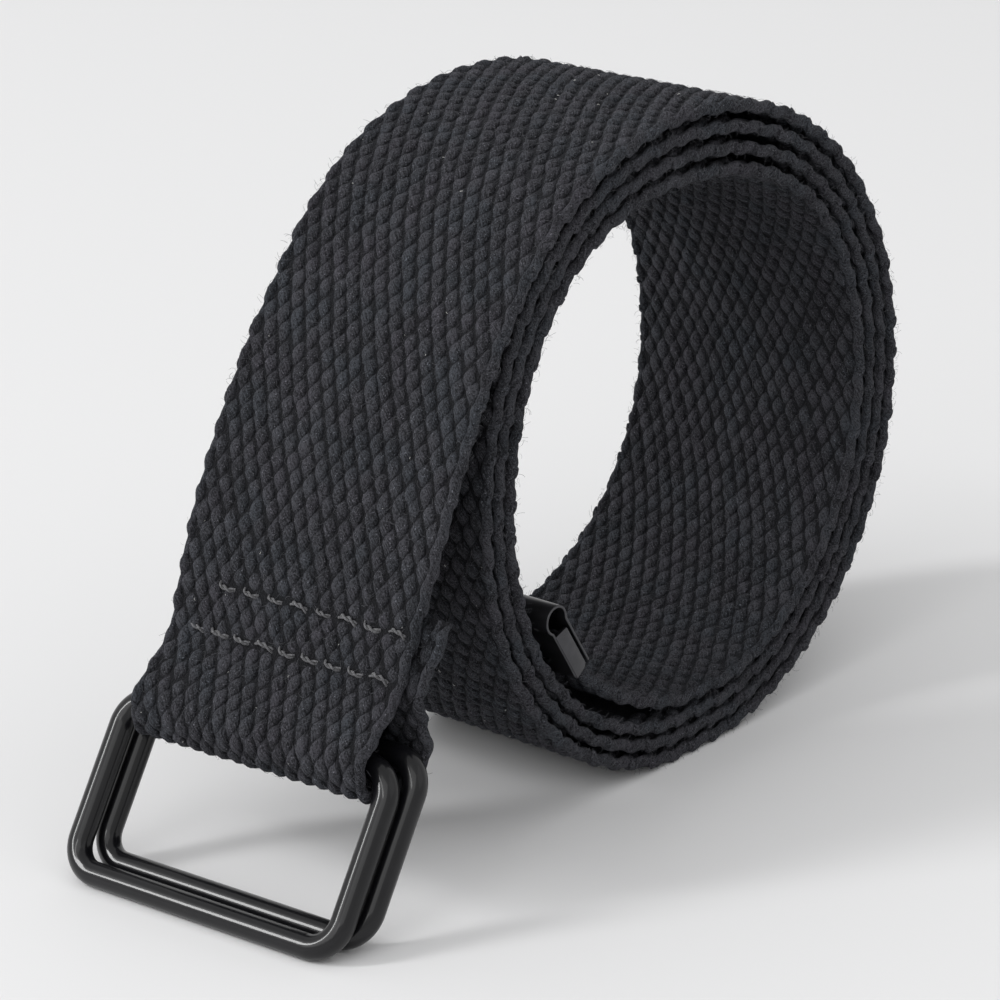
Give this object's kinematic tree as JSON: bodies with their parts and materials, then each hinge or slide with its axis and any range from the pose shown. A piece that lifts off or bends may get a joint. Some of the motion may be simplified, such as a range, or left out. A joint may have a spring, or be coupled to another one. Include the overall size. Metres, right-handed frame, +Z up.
{
  "type": "double ring belt",
  "caption": "Rolled-up cotton webbing belt with rectangular wire rings side by side in a sewn loop at one end and a folded sheet metal tip at the other.",
  "frame": {"origin": "on the surface that the belt stands on, under the middle of the box around the whole belt", "axes": "+Z up, +X from the rings towards the roll, Y along the roll's axis with the end face that shows in front at -Y"},
  "size_m": [0.1266, 0.046, 0.0887],
  "materials": {
    "webbing": "matt charcoal black cotton, coarse plain weave",
    "ring_coating": "glossy black coating on round steel wire",
    "tip_coating": "satin dark grey coating on thin folded sheet"
  },
  "bodies": {
    "webbing": {"strap": "webbing", "belt_tip": "tip_coating"},
    "ring_in_front": {"front_ring": "ring_coating"},
    "ring_behind": {"back_ring": "ring_coating"}
  },
  "joints": [
    {"name": "front_ring_swing", "type": "hinge", "parent": "webbing", "child": "ring_in_front", "pos_m": [-0.04821, 0.00077, 0.02051], "axis": [-0.0593, 0.9982, 0], "range_deg": [0, 160]},
    {"name": "back_ring_swing", "type": "hinge", "parent": "webbing", "child": "ring_behind", "pos_m": [-0.04396, -0.00003, 0.02051], "axis": [-0.0593, 0.9982, 0], "range_deg": [-115, 0]}
  ]
}
